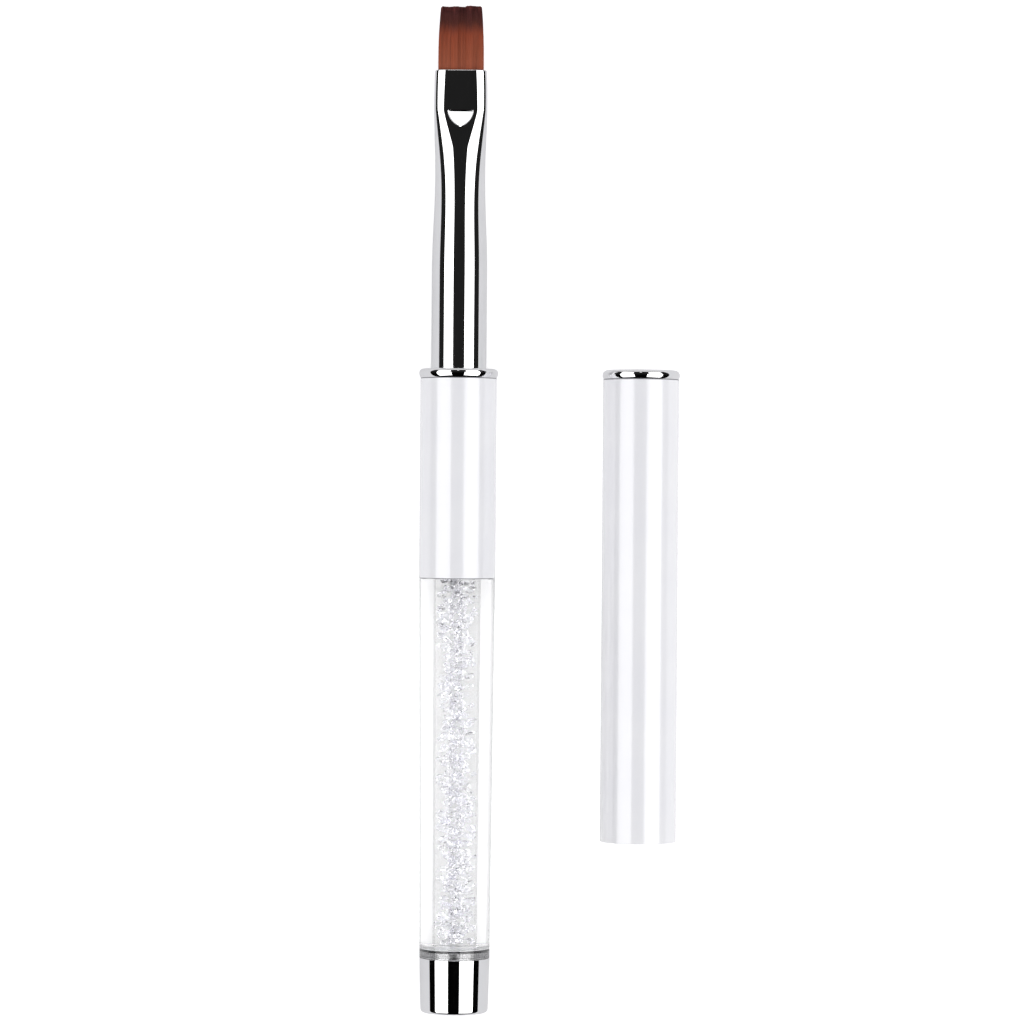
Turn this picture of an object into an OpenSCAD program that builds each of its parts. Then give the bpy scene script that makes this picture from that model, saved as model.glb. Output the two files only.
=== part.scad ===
// Flat acrylic nail brush with a crystal-filled handle, lying beside its pulled-off cap.
// Both lie along +Y with the bristles at the +Y end. The flat of the brush faces +Z.
// The origin is under the middle of the pair, on the surface that they lie on.
// Each sub-part is turned about a local Z that runs from the butt end towards the bristles,
// and "station" means a distance along that axis from the butt end.

/* [Handle] */
// Outer diameter of the lacquered sleeve
sleeve_d = 9.95; // [9:0.05:11]
// Visible length of the lacquered sleeve
sleeve_len = 26; // [20:0.5:32]
// Wall of the sleeve and of the cap tube
shell_wall = 0.5; // [0.4:0.05:0.6]
// Diameter of the clear tube where it leaves the sleeve
tube_top_d = 9.86; // [9.4:0.02:9.9]
// Diameter of the clear tube where it meets the end plug
tube_butt_d = 9.1; // [8.8:0.05:9.4]
// Visible length of the clear tube
tube_len = 49.6; // [40:0.2:60]
// Bore of the clear tube inside the sleeve
bore_top_d = 4.2; // [4.1:0.05:4.6]
// Bore of the clear tube at the end plug
bore_butt_d = 3.86; // [3.8:0.02:4.1]
// Length of the chrome end plug
plug_len = 6.7; // [5:0.1:9]
// Diameter of the end plug at its butt end
plug_butt_d = 8.76; // [8:0.02:9]

/* [Head] */
// Diameter of the round end of the ferrule
ferrule_d = 7.2; // [7:0.05:7.4]
// Visible length of the ferrule
ferrule_len = 38.8; // [34:0.2:44]
// Wall of the ferrule
ferrule_wall = 0.25; // [0.2:0.05:0.3]
// Width of the ferrule at its mouth
mouth_w = 6.54; // [6.4:0.02:6.8]
// Thickness of the flattened mouth
mouth_t = 2.06; // [2.04:0.01:2.14]
// Free length of the bristles
tuft_len = 8.4; // [6:0.2:12]
// Diameter of the beaded collar
collar_d = 10.3; // [10.2:0.05:10.8]
// Thickness of the beaded collar
bead_len = 1.2; // [1:0.1:1.6]

/* [Cap] */
// Outer diameter of the cap tube
cap_d = 9.9; // [9.7:0.05:10.2]
// Length of the cap with its end plug
cap_len = 61.2; // [56:0.2:68]
// Diameter of the bead on the cap's end plug
cap_bead_d = 10.1; // [10:0.05:10.6]
// Bore of the plastic liner that grips the ferrule
liner_bore_d = 7.36; // [7.3:0.02:7.6]
// Length of the plastic liner
liner_len = 20; // [10:0.5:24]
// Distance between the brush's axis and the cap's axis
axis_gap = 23.7; // [14:0.1:40]

/* [Crystals] */
// Radius of the ball that a crystal is cut from
stone_r = 0.7; // [0.6:0.02:0.72]
// Facets round the girdle of a crystal
stone_sides = 5; // [5:1:6]

/* [Hidden] */
$fn = 96;

slip = 0.025;         // radial gap of a glued or pressed fit
face_gap = 0.05;      // gap between two faces that butt
hair = "#8a4a38";
chrome = "#c8c8cc";
lacquer = "#f2f2f4";

// Stations along the handle and the head
tube_start = plug_len;
sleeve_start = tube_start + tube_len;
collar_start = sleeve_start + sleeve_len;
head_start = collar_start + bead_len;
mouth = head_start + ferrule_len;
brush_len = mouth + tuft_len;

// Where the two axes lie, so that the pair is centred and each rests on its bead
brush_x = (collar_d - cap_bead_d) / 4 - axis_gap / 2;
cap_x = brush_x + axis_gap;
brush_z = collar_d / 2;
cap_z = cap_bead_d / 2;

// Inside the sleeve
sleeve_bore = sleeve_d - 2 * shell_wall;
inner_d = sleeve_bore - 2 * slip;
tube_tenon_len = 10;
tenon_end = sleeve_start + tube_tenon_len;
flange_len = 3.9;
ferrule_start = tenon_end + flange_len + 2 * face_gap;
core_end = mouth - 30.3;
collar_spigot_len = 4;
bush_len = collar_start - collar_spigot_len - 0.3 - ferrule_start;
nub_len = 3;
stopper_start = sleeve_start + 2.3;
stopper_len = 3;

// End plug
plug_round = 0.45;    // radius round its butt edge
plug_spigot_d = 6.9;
plug_spigot_len = 1.5;
glue_t = 0.15;
glue_boss = 0.35;     // height that the glue stands up into the bore
well_d = plug_spigot_d + 2 * slip;
well_depth = plug_spigot_len + glue_t;

// Ferrule: distances from its mouth towards the handle
flat_len = 5.3;       // end of the pressed flat
widest_at = 4.5;
widest = 6.88;
neck_at = 13.6;
neck_w = 6.5;
round_at = 26.3;      // here the section is round again
crown = 1.25;         // half thickness of the oval that the flat is pressed into
press_rise = 0.2;     // slope of the pressed ramp below the flat
dent_len = 2.15;
dent_half_w = 1.7;
dent_slope = 19.5;    // degrees
dent_points = 12;     // points down each side of the punch mark
ring_points = 40;

// Bristles
hinge_lift = 0.3;     // height of the bending axis over the mouth
tuft_half_w = 2.94;
tuft_half_t = 0.7;
tip_half_w = 2.66;
tip_half_t = 0.35;
tip_round = 0.45;
root_top = 0.8;       // depth of the fixed hair below the mouth
root_end = 17.5;
tie_at = 14.2;
tie_r = 2;
thread_r = 0.16;
thread_turns = 7;

// Crystals
stone_start = tube_start + plug_spigot_len + glue_t + glue_boss + 0.05;
layer_step = 1.65 * stone_r;
layers = floor((stopper_start - stone_start - 2 * stone_r) / layer_step) + 1;
core_stone_r = 0.42;

// A quantity that eases from a to b as t goes from 0 to 1
function ease(a, b, t) = a + (b - a) * (1 - cos(180 * min(1, max(0, t)))) / 2;

// Radius of the clear tube's bore at a station
function bore_r(s) = (bore_butt_d + (bore_top_d - bore_butt_d)
    * (s - tube_start) / (tenon_end - tube_start)) / 2;

// Half width of the ferrule at a distance d from its mouth
function half_width(d) =
    d < widest_at ? widest / 2 - (widest - mouth_w) / 2 * pow(1 - d / widest_at, 2)
    : d < neck_at ? ease(widest, neck_w, (d - widest_at) / (neck_at - widest_at)) / 2
    : ease(neck_w, ferrule_d, (d - neck_at) / (round_at - neck_at)) / 2;

// Half thickness of the oval before it is pressed
function half_thick(d) = d < flat_len ? crown
    : crown + (ferrule_d / 2 - crown) * sin(90 * (d - flat_len) / (round_at - flat_len));

// Height of the press tool's face over the axis
function press(d) = mouth_t / 2 + press_rise * max(0, d - flat_len);

// One closed outline of the ferrule, set in by a wall
function ferrule_ring(d, inset) = [for (i = [0 : ring_points - 1])
    let (q = 360 * (i + 0.5) / ring_points,
         y = (half_thick(d) - inset) * sin(q),
         top = press(d) - inset)
    [(half_width(d) - inset) * cos(q), min(top, max(-top, y))]];

// One closed outline with rounded corners
function oval_ring(w, t, power, count) = [for (i = [0 : count - 1])
    let (q = 360 * (i + 0.5) / count)
    [w * sign(cos(q)) * pow(abs(cos(q)), 2 / power),
     t * sign(sin(q)) * pow(abs(sin(q)), 2 / power)]];

// A solid skinned over rings that all have the same number of points
module skin(rings, heights) {
    n = len(rings[0]);
    last = len(rings) - 1;
    points = [for (k = [0 : last]) for (p = rings[k]) [p[0], p[1], heights[k]]];
    sides = [for (k = [0 : last - 1]) for (i = [0 : n - 1])
        let (j = (i + 1) % n)
        each [[k * n + i, (k + 1) * n + i, k * n + j],
              [k * n + j, (k + 1) * n + i, (k + 1) * n + j]]];
    floor_face = [for (i = [0 : n - 1]) i];
    top_face = [for (i = [n - 1 : -1 : 0]) last * n + i];
    polyhedron(points, concat(sides, [floor_face, top_face]), convexity = 6);
}

// A round bar between two stations
module bar(d, from, to) translate([0, 0, from]) cylinder(d = d, h = to - from);

// A tube between two stations
module pipe(outer, inner, from, to) difference() {
    bar(outer, from, to);
    bar(inner, from - 1, to + 1);
}

// A disc with a full round edge, as on the collar and on the cap's end
module bead(d, from) translate([0, 0, from]) rotate_extrude() {
    square([d / 2 - bead_len / 2, bead_len]);
    translate([d / 2 - bead_len / 2, bead_len / 2]) circle(d = bead_len, $fn = 40);
}

// Lays a piece down along +Y on the brush's axis or on the cap's axis
module on_brush() translate([brush_x, -brush_len / 2, brush_z]) rotate([-90, 0, 0]) children();
module on_cap() translate([cap_x, -brush_len / 2, cap_z]) rotate([-90, 0, 0]) children();

module end_plug() color(chrome) on_brush() {
    rotate_extrude() union() {
        polygon([[0, 0], [plug_butt_d / 2 - plug_round, 0], [plug_butt_d / 2, plug_round],
                 [tube_butt_d / 2, plug_len], [0, plug_len]]);
        translate([plug_butt_d / 2 - plug_round, plug_round]) circle(r = plug_round, $fn = 40);
    }
    bar(plug_spigot_d, plug_len - 0.1, plug_len + plug_spigot_len);
}

module plug_glue() color("#eef0f2") on_brush() {
    top = plug_len + plug_spigot_len;
    bar(plug_spigot_d - 0.2, top + 0.01, top + glue_t - 0.01);
    bar(bore_butt_d - 2 * slip, top + 0.05, top + glue_t + glue_boss);
}

module acrylic_tube() color([0.93, 0.95, 1, 0.35]) on_brush() difference() {
    union() {
        translate([0, 0, tube_start])
            cylinder(d1 = tube_butt_d, d2 = tube_top_d, h = tube_len - face_gap);
        bar(inner_d, sleeve_start - 1, tenon_end);
    }
    translate([0, 0, tube_start])
        cylinder(d1 = bore_butt_d, d2 = bore_top_d, h = tenon_end - tube_start);
    bar(bore_top_d, tenon_end - 0.01, tenon_end + 1);
    bar(well_d, tube_start - 1, tube_start + well_depth);
}

// A cut crystal: a table, a girdle and a point, all on a ball of radius r
module stone(r, seed) {
    turn = rands(0, 360, 3, seed);
    size = rands(0.86, 1, 3, seed + 1);
    n = stone_sides;
    table_q = 52;     // degrees that the table's corners stand over the girdle
    points = concat(
        [for (i = [0 : n - 1]) r * [cos(360 * i / n) * cos(table_q), sin(360 * i / n) * cos(table_q), sin(table_q)]],
        [for (i = [0 : n - 1]) r * [cos(360 * (i + 0.5) / n), sin(360 * (i + 0.5) / n), 0]],
        [[0, 0, -r]]);
    faces = concat(
        [[for (i = [n - 1 : -1 : 0]) i]],
        [for (i = [0 : n - 1]) [i, (i + 1) % n, n + i]],
        [for (i = [0 : n - 1]) [(i + 1) % n, n + (i + 1) % n, n + i]],
        [for (i = [0 : n - 1]) [n + i, n + (i + 1) % n, 2 * n]]);
    shaped = [for (p = points) [p[0] * size[0], p[1] * size[1], p[2] * size[2]]];
    rotate(turn) polyhedron(shaped, faces);
}

// Four crystals to a layer, each layer turned half a pitch over the one below
module rim_crystals() color("#f4f4fa") on_brush()
    for (k = [0 : layers - 1], i = [0 : 3]) {
        s = stone_start + stone_r + k * layer_step;
        ring_r = bore_r(s) - stone_r - 0.04;
        rotate(90 * i + 45 * (k % 2)) translate([ring_r, 0, s]) stone(stone_r, 10 * k + i);
    }

// One small crystal in the middle of each layer
module core_crystals() color("#e8e8f2") on_brush()
    for (k = [0 : layers - 1])
        translate([0, 0, stone_start + stone_r + k * layer_step]) stone(core_stone_r, 5000 + k);

module bore_stopper() color("#e6e6ea") on_brush()
    bar(2 * bore_r(stopper_start) - 2 * slip, stopper_start, stopper_start + stopper_len);

module upper_sleeve() color(lacquer) on_brush() pipe(sleeve_d, sleeve_bore, sleeve_start, collar_start);

module ferrule_core() color("#d8d2c4") on_brush() {
    bar(bore_top_d - 0.2, tenon_end - nub_len, tenon_end + 1);
    bar(inner_d, tenon_end + face_gap, tenon_end + face_gap + flange_len);
    bar(ferrule_d - 2 * ferrule_wall - 2 * slip, tenon_end + 1, core_end);
}

module ferrule_bush() color("#f0efe9") on_brush()
    pipe(inner_d, ferrule_d + 2 * slip, ferrule_start, ferrule_start + bush_len);

module collar_ring() color(chrome) on_brush() difference() {
    union() {
        bead(collar_d, collar_start);
        bar(inner_d, collar_start - collar_spigot_len, collar_start + bead_len / 2);
    }
    bar(ferrule_d + 2 * slip, collar_start - collar_spigot_len - 1, head_start + 1);
}

// The D-shaped punch mark on one face. Its floor is deepest at the straight edge, nearest the
// mouth, and runs out to the surface at its rounded tip.
module punch(inset) translate([0, 0, mouth - flat_len]) {
    foot = press(flat_len + dent_len) - dent_len * tan(dent_slope);
    intersection() {
        translate([0, 4, 0]) rotate([90, 0, 0]) linear_extrude(4) polygon([
            for (i = [-dent_points : dent_points]) let (f = 1 - abs(i) / dent_points)
                [dent_half_w * sign(i) * pow(1 - f * f, 0.74), -dent_len * f]]);
        translate([-3, foot - inset, 0]) rotate([90 + dent_slope, 0, 0])
            translate([0, -1, -3]) cube([6, 8, 3]);
    }
}

// The flattened front of the ferrule as a solid, set in by a wall
module ferrule_front(inset, overrun) {
    depths = [round_at, 23.3, 20.3, 17.3, 14.3, 11.8, 9.3, 8, 6.6, flat_len, widest_at, 3, 1.5, 0];
    difference() {
        skin([for (d = depths) ferrule_ring(d, inset)],
             [for (d = depths) mouth - d + (d == 0 ? overrun : 0)]);
        for (side = [0, 180]) rotate(side) punch(inset);
    }
}

module ferrule() color(chrome) on_brush() {
    joint = mouth - round_at;
    inner = ferrule_d - 2 * ferrule_wall;
    pipe(ferrule_d, inner, ferrule_start, joint);
    difference() {
        ferrule_front(0, 0);
        ferrule_front(ferrule_wall, 1);
    }
}

module resin_plug() color("#c9a466") on_brush() {
    depths = [24.3, 21.3, root_end + 0.1];
    skin([for (d = depths) ferrule_ring(d, ferrule_wall + slip)], [for (d = depths) mouth - d]);
}

module binding_thread() color("#e9e2d0") on_brush()
    for (k = [0 : thread_turns - 1])
        translate([0, 0, mouth - tie_at - 0.3 - k * (2 * thread_r + 0.02)])
            rotate_extrude() translate([tie_r + thread_r + 0.02, 0]) circle(thread_r, $fn = 24);

module bristle_root() color(hair) on_brush() {
    // depth below the mouth, half width, half thickness, power of the outline
    sections = [[root_end, tie_r, tie_r, 2], [tie_at, tie_r, tie_r, 2], [10, 2.7, 1.2, 2.2],
                [7.5, 2.85, 0.75, 2.4], [flat_len, 2.85, 0.38, 2.6], [4, 2.85, 0.6, 2.6],
                [root_top, 2.85, 0.64, 2.6]];
    skin([for (c = sections) oval_ring(c[1], c[2], c[3], 32)], [for (c = sections) mouth - c[0]]);
}

// Bristles that stand free of the mouth. Their foot is turned about the bending axis.
module bristle_tuft() color(hair) on_brush() {
    axis = mouth + hinge_lift;
    height = brush_len - axis;
    steps = [0, 0.15, 0.35, 0.55, 0.75, 0.88, 1 - tip_round / height];
    side = [for (t = steps) oval_ring(tuft_half_w - (tuft_half_w - tip_half_w) * pow(t, 2.5),
        tuft_half_t - (tuft_half_t - tip_half_t) * pow(t, 1.6), 2.8, 32)];
    tip = [oval_ring(tip_half_w - tip_round * 0.3, tip_half_t * 0.85, 2.8, 32),
           oval_ring(tip_half_w - tip_round, tip_half_t * 0.5, 2.8, 32)];
    skin(concat(side, tip),
         concat([for (t = steps) axis + height * t], [axis + height - tip_round * 0.25, brush_len]));
    foot = [for (i = [1 : 15]) let (q = 12 * (i - 8))
        [0.97 * tuft_half_w * sign(q) * pow(abs(sin(q)), 2 / 2.8),
         0.97 * tuft_half_t * pow(cos(q), 2 / 2.8)]];
    translate([0, 0, axis]) rotate([0, 90, 0]) rotate_extrude()
        polygon(concat([[0, foot[0][0]]], [for (p = foot) [p[1], p[0]]], [[0, foot[14][0]]]));
}

module cap_tube() color(lacquer) on_cap()
    pipe(cap_d, cap_d - 2 * shell_wall, head_start - cap_len, collar_start);

module cap_liner() color("#fafafa") on_cap() {
    from = head_start - cap_len + 0.2;
    difference() {
        pipe(cap_d - 2 * shell_wall - 2 * slip, liner_bore_d, from, from + liner_len);
        translate([0, 0, from - 0.01])
            cylinder(d1 = liner_bore_d + 0.8, d2 = liner_bore_d, h = 0.6);
    }
}

module cap_end_plug() color(chrome) on_cap() {
    bead(cap_bead_d, collar_start);
    bar(cap_d - 2 * shell_wall - 2 * slip, collar_start - collar_spigot_len, collar_start + bead_len / 2);
}

end_plug();
plug_glue();
acrylic_tube();
rim_crystals();
core_crystals();
bore_stopper();
upper_sleeve();
ferrule_core();
ferrule_bush();
collar_ring();
ferrule();
resin_plug();
binding_thread();
bristle_root();
bristle_tuft();
cap_tube();
cap_liner();
cap_end_plug();
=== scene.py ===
import math

import bpy
import numpy as np
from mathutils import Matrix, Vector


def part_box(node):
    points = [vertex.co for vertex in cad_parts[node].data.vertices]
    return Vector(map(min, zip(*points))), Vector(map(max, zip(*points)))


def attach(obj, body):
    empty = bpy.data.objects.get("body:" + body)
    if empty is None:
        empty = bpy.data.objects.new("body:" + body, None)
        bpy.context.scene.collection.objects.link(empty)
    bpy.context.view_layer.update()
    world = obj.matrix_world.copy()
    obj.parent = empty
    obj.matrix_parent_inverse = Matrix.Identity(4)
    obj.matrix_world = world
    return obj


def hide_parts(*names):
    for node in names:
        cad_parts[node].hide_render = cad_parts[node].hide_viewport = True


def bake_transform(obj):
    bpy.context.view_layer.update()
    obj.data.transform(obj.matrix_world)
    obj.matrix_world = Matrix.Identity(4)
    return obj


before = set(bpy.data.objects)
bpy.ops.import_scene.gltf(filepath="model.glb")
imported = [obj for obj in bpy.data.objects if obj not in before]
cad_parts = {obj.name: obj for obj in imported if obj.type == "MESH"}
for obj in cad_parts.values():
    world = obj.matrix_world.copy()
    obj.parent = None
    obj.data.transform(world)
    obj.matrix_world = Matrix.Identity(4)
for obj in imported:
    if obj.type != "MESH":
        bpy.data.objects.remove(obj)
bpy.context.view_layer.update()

# An acrylic nail brush beside its cap. Lengths are in metres, in the frame of the CAD model:
# both lie along +Y, and the flat of the brush faces +Z.

MM = 0.001


def ends(node):
    """Where a CAD node starts and ends along Y."""
    low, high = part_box(node)
    return low[1], high[1]


def centre_line(node):
    """The x and z of a round CAD node's axis."""
    low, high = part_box(node)
    return (low[0] + high[0]) / 2, (low[2] + high[2]) / 2


def radius_of(node):
    """The outer radius of a round CAD node."""
    low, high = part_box(node)
    return (high[0] - low[0]) / 2


BRUSH_AXIS = centre_line("collar_ring")
CAP_AXIS = centre_line("cap_tube")
BUTT, SPIGOT_END = ends("end_plug")
SLEEVE_START, SLEEVE_END = ends("upper_sleeve")
FERRULE_BASE, MOUTH = ends("ferrule")
TIP = ends("bristle_tuft")[1]
COLLAR_START, COLLAR_END = ends("collar_ring")
CAP_MOUTH, CAP_TUBE_END = ends("cap_tube")
STOPPER_START = ends("bore_stopper")[0]

# Sizes that the nodes' boxes don't give
WALL = 0.5 * MM              # wall of the sleeve and of the cap
SLIP = 0.025 * MM            # gap of a glued fit
PLUG_END = BUTT + 7.1 * MM   # visible end of the end plug
PLUG_BUTT_R = 4.38 * MM
PLUG_TOP_R = 4.55 * MM
SPIGOT_R = 3.45 * MM
WELL_DEPTH = 1.65 * MM       # counterbore in the tube for the plug's spigot
TUBE_TOP_R = 4.93 * MM
BORE_BUTT_R = 1.93 * MM
BORE_TOP_R = 2.1 * MM
BEAD = 1.2 * MM              # thickness of the two beads
COLLAR_BEAD_SIDE = 1.2 * MM  # radius of the collar bead's side towards the handle
CAP_BEAD_SIDE = 1.0 * MM
BEAD_LEAN = 33               # degrees of slope at which that side ends
LINER_BORE_R = 3.68 * MM
LINER_LEAD = 0.6 * MM        # length of the chamfer in the cap's mouth
SHOULDER_GAP = 0.05 * MM     # between the tube's shoulder and the sleeve

# Rounds along edges
PLUG_EDGE = 0.45 * MM
CHROME_EDGE = 0.06 * MM
CUT_EDGE = 0.05 * MM         # of machined plastic
SLEEVE_EDGE = 0.12 * MM
CAP_EDGE = 0.08 * MM
SHADE_BAND = 0.09 * MM        # length of a dark band at a tube's cut end: painted shade along the joint with the next part


# Mesh work

def mesh_piece(name, points, faces, smooth=True):
    """An object from an array of points and a list of faces, with its faces turned outwards."""
    triangles = np.array([(f[0], f[k], f[k + 1]) for f in faces for k in range(1, len(f) - 1)])
    corner = points[triangles]
    volume = np.einsum("ij,ij->i", corner[:, 0], np.cross(corner[:, 1], corner[:, 2])).sum()
    if volume < 0:
        faces = [tuple(reversed(f)) for f in faces]
    mesh = bpy.data.meshes.new(name)
    mesh.from_pydata(points.tolist(), [], faces)
    mesh.polygons.foreach_set("use_smooth", np.full(len(mesh.polygons), smooth))
    mesh.update()
    piece = bpy.data.objects.new(name, mesh)
    bpy.context.scene.collection.objects.link(piece)
    return piece


def skin_faces(rings, around):
    """The quads that join each of a number of rings to the next, with every ring closed on itself."""
    i, j = np.meshgrid(np.arange(rings - 1), np.arange(around), indexing="ij")
    k = (j + 1) % around
    quads = np.stack([i * around + j, i * around + k, (i + 1) * around + k, (i + 1) * around + j], -1)
    return quads.reshape(-1, 4).tolist()


def loop_faces(rings, around):
    """The same, with the last ring joined to the first."""
    return [tuple(v % (rings * around) for v in face) for face in skin_faces(rings + 1, around)]


def rounded(corners, steps=7, guard=0.02 * MM):
    """A closed outline in (y, radius) whose corners are arcs.

    Each corner is (y, radius, fillet). Its arc is tangent to both sides that meet there: it starts
    fillet / tan(half the angle) from the corner, and its centre lies on the line that halves the
    angle. A guard point just outside each end of an arc keeps the long sides shaded straight.
    """
    outline = []
    count = len(corners)
    for n in range(count):
        here = np.array(corners[n][:2])
        fillet = corners[n][2]
        if fillet == 0:
            outline.append(here)
            continue
        back = np.array(corners[n - 1][:2]) - here
        ahead = np.array(corners[(n + 1) % count][:2]) - here
        back, ahead = back / np.linalg.norm(back), ahead / np.linalg.norm(ahead)
        half = math.acos(np.clip(back @ ahead, -1, 1)) / 2
        reach = fillet / math.tan(half)
        middle = here + (back + ahead) / np.linalg.norm(back + ahead) * fillet / math.sin(half)
        start, stop = here + back * reach - middle, here + ahead * reach - middle
        sweep = math.pi - 2 * half
        outline.append(here + back * (reach + guard))
        for t in np.linspace(0, 1, steps):
            mix = (math.sin((1 - t) * sweep) * start + math.sin(t * sweep) * stop) / math.sin(sweep)
            outline.append(middle + mix)
        outline.append(here + ahead * (reach + guard))
    return np.array(outline)


def turned(name, axis, corners, solid=False, around=192, steps=7):
    """A piece turned on a lathe about a line along Y through (x, z) = axis.

    A point of the outline at (y, radius) goes round as x + radius * sin(angle),
    z + radius * cos(angle). A solid piece starts and ends with a corner on the axis, and its two
    ends close in a fan. Any other piece is a ring, whose last ring of points joins its first.
    """
    outline = rounded(corners, steps)
    angle = np.linspace(0, 2 * np.pi, around, endpoint=False)
    if solid:
        poles, outline = outline[[0, -1]], outline[1:-1]
    y, r = outline[:, :1], outline[:, 1:]
    points = np.stack([axis[0] + r * np.sin(angle), y + 0 * angle, axis[1] + r * np.cos(angle)], -1)
    rings = len(outline)
    if solid:
        points = np.concatenate([points.reshape(-1, 3), [[axis[0], p[0], axis[1]] for p in poles]])
        last = (rings - 1) * around
        faces = skin_faces(rings, around)
        faces += [(rings * around, (j + 1) % around, j) for j in range(around)]
        faces += [(rings * around + 1, last + j, last + (j + 1) % around) for j in range(around)]
    else:
        points = points.reshape(-1, 3)
        faces = loop_faces(rings, around)
    return mesh_piece(name, points, faces)


def flat_board(name, corners, made):
    mesh = bpy.data.meshes.new(name)
    mesh.from_pydata(corners, [], [(0, 1, 2, 3)])
    mesh.materials.append(made)
    board = bpy.data.objects.new(name, mesh)
    bpy.context.scene.collection.objects.link(board)
    return board


# Shader work

def node_group(name, inputs, outputs):
    """An empty shader group. inputs and outputs are (name, socket type, default)."""
    group = bpy.data.node_groups.new(name, "ShaderNodeTree")
    for title, kind, default in inputs:
        socket = group.interface.new_socket(name=title, in_out="INPUT", socket_type=kind)
        socket.default_value = default
    for title, kind in outputs:
        group.interface.new_socket(name=title, in_out="OUTPUT", socket_type=kind)
    return group, group.nodes.new("NodeGroupInput"), group.nodes.new("NodeGroupOutput")


def wear_group():
    """A value between Low and High that follows soft smudges crossed by fine scratches along Y."""
    group, given, out = node_group(
        "handling_wear",
        [("Scale", "NodeSocketFloat", 300.0), ("Low", "NodeSocketFloat", 0.02),
         ("High", "NodeSocketFloat", 0.06)],
        [("Value", "NodeSocketFloat")])
    nodes, link = group.nodes, group.links.new
    place = nodes.new("ShaderNodeTexCoord")
    smudge = nodes.new("ShaderNodeTexNoise")
    smudge.inputs["Detail"].default_value = 3
    stretch = nodes.new("ShaderNodeMapping")
    stretch.inputs["Scale"].default_value = (1, 0.06, 1)
    scratch = nodes.new("ShaderNodeTexNoise")
    scratch.inputs["Detail"].default_value = 2
    finer = nodes.new("ShaderNodeMath")
    finer.operation = "MULTIPLY"
    finer.inputs[1].default_value = 14
    both = nodes.new("ShaderNodeMath")
    both.operation = "MULTIPLY"
    fit = nodes.new("ShaderNodeMapRange")
    fit.inputs["From Min"].default_value = 0.12
    fit.inputs["From Max"].default_value = 0.42
    link(place.outputs["Object"], smudge.inputs["Vector"])
    link(given.outputs["Scale"], smudge.inputs["Scale"])
    link(place.outputs["Object"], stretch.inputs["Vector"])
    link(stretch.outputs["Vector"], scratch.inputs["Vector"])
    link(given.outputs["Scale"], finer.inputs[0])
    link(finer.outputs[0], scratch.inputs["Scale"])
    link(smudge.outputs["Fac"], both.inputs[0])
    link(scratch.outputs["Fac"], both.inputs[1])
    link(both.outputs[0], fit.inputs["Value"])
    link(given.outputs["Low"], fit.inputs["To Min"])
    link(given.outputs["High"], fit.inputs["To Max"])
    link(fit.outputs["Result"], out.inputs["Value"])
    return group


def drift_group():
    """A colour that drifts between two tones over soft patches."""
    group, given, out = node_group(
        "tone_drift",
        [("Scale", "NodeSocketFloat", 200.0), ("Tone A", "NodeSocketColor", (1, 1, 1, 1)),
         ("Tone B", "NodeSocketColor", (1, 1, 1, 1))],
        [("Color", "NodeSocketColor")])
    nodes, link = group.nodes, group.links.new
    place = nodes.new("ShaderNodeTexCoord")
    patch = nodes.new("ShaderNodeTexNoise")
    patch.inputs["Detail"].default_value = 4
    fit = nodes.new("ShaderNodeMapRange")
    fit.inputs["From Min"].default_value = 0.35
    fit.inputs["From Max"].default_value = 0.65
    mix = nodes.new("ShaderNodeMix")
    mix.data_type = "RGBA"
    link(place.outputs["Object"], patch.inputs["Vector"])
    link(given.outputs["Scale"], patch.inputs["Scale"])
    link(patch.outputs["Fac"], fit.inputs["Value"])
    link(fit.outputs["Result"], mix.inputs["Factor"])
    link(given.outputs["Tone A"], mix.inputs["A"])
    link(given.outputs["Tone B"], mix.inputs["B"])
    link(mix.outputs["Result"], out.inputs["Color"])
    return group


WEAR = wear_group()
DRIFT = drift_group()


def new_material(name, **plain):
    """A material with one Principled BSDF. plain gives its constant sockets, with _ for a space."""
    made = bpy.data.materials.new(name)
    made.use_nodes = True
    shader = made.node_tree.nodes["Principled BSDF"]
    for title, value in plain.items():
        shader.inputs[title.replace("_", " ")].default_value = value
    return made, made.node_tree, shader


def place_group(tree, group, **values):
    """A group placed in a material, with its own values."""
    placed = tree.nodes.new("ShaderNodeGroup")
    placed.node_tree = group
    for title, value in values.items():
        placed.inputs[title.replace("_", " ")].default_value = value
    return placed


def two_tone(tree, shader, scale, tone_a, tone_b):
    """Base colour that drifts between two tones."""
    tone = place_group(tree, DRIFT, Scale=scale, Tone_A=(*tone_a, 1), Tone_B=(*tone_b, 1))
    tree.links.new(tone.outputs["Color"], shader.inputs["Base Color"])


def handled(tree, shader, socket, scale, low, high):
    """Wear on a socket such as Roughness, between a low and a high value."""
    wear = place_group(tree, WEAR, Scale=scale, Low=low, High=high)
    tree.links.new(wear.outputs["Value"], shader.inputs[socket])


def chrome_plate():
    made, tree, shader = new_material("chrome_plate", Metallic=1.0)
    two_tone(tree, shader, 260, (0.8, 0.8, 0.81), (0.825, 0.825, 0.835))
    handled(tree, shader, "Roughness", 240, 0.012, 0.045)
    return made


def glued_chrome_painted_shade():
    """Chrome of the plug's spigot, seen through the tube: rougher, as a key for the glue, and much darker
    in tone, which is painted shade for the dim light it lies in.
    """
    made, tree, shader = new_material("glued_chrome_painted_shade", Metallic=1.0)
    # these dark tones are painted shade, not the chrome's own colour
    two_tone(tree, shader, 900, (0.27, 0.27, 0.275), (0.36, 0.36, 0.365))
    handled(tree, shader, "Roughness", 900, 0.2, 0.42)
    return made


def joint_shade_band():
    """Dark band at the cut end of a lacquered tube: painted shade along its joint with the next part."""
    made, tree, shader = new_material("joint_shade_band", IOR=1.5)
    # dark grey tones: painted shade at the joint
    two_tone(tree, shader, 700, (0.2, 0.2, 0.215), (0.27, 0.27, 0.285))
    handled(tree, shader, "Roughness", 700, 0.4, 0.6)
    return made


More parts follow.
